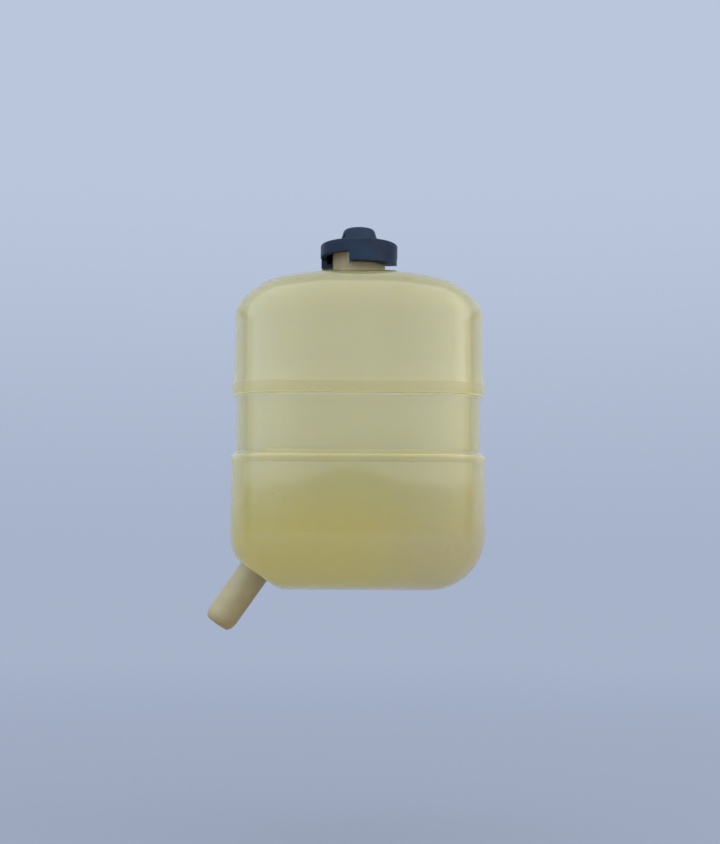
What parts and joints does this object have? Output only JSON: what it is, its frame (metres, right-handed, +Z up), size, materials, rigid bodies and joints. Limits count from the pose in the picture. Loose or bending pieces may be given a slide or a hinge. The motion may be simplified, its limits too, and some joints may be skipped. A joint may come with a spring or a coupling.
{
  "type": "coolant expansion tank",
  "caption": "Hollow moulded coolant expansion tank with a strap seat round its waist, an angled hose spigot and a vented bayonet cap holding a spring-loaded relief valve.",
  "frame": {"origin": "centre of the tank's flat underside, on the axis of the filler neck", "axes": "+Z up along the filler neck, +X to the right as the front is seen, so the hose spigot leaves towards -X, and -Y out of the front"},
  "size_m": [0.1651, 0.0992, 0.244],
  "materials": {
    "translucent_polyethylene": "glossy, translucent yellow",
    "tan_polyethylene": "satin tan",
    "dark_polypropylene": "fine satin, blue-black",
    "black_rubber": "matt",
    "tinplate": "bright",
    "spring_steel": "drawn wire",
    "brass": "turned"
  },
  "bodies": {
    "tank": {"tank_shell": "translucent_polyethylene", "filler_neck": "tan_polyethylene", "hose_spigot": "tan_polyethylene"},
    "cap": {"cap_cover": "dark_polypropylene", "cap_gasket": "black_rubber", "valve_sleeve": "tinplate", "pressure_spring": "spring_steel"},
    "pressure_valve": {"pressure_plate": "brass", "pressure_seal": "black_rubber", "vacuum_spring": "spring_steel"},
    "vacuum_valve": {"vacuum_stem": "brass", "vacuum_seal": "black_rubber", "stem_washer": "tinplate"}
  },
  "joints": [
    {"name": "cap_turn", "type": "hinge", "parent": "tank", "child": "cap", "pos_m": [0, 0, 0.2], "axis": [0, 0, 1], "range_deg": [0, 78]},
    {"name": "pressure_lift", "type": "slide", "parent": "cap", "child": "pressure_valve", "axis": [0, 0, 1], "range_m": [0, 0.002], "stiffness_N_per_m": 1500, "springref_m": -0.008, "deforming": ["pressure_spring"]},
    {"name": "vacuum_drop", "type": "slide", "parent": "pressure_valve", "child": "vacuum_valve", "axis": [0, 0, -1], "range_m": [0, 0.0015], "stiffness_N_per_m": 100, "springref_m": -0.004, "deforming": ["vacuum_spring"]}
  ]
}
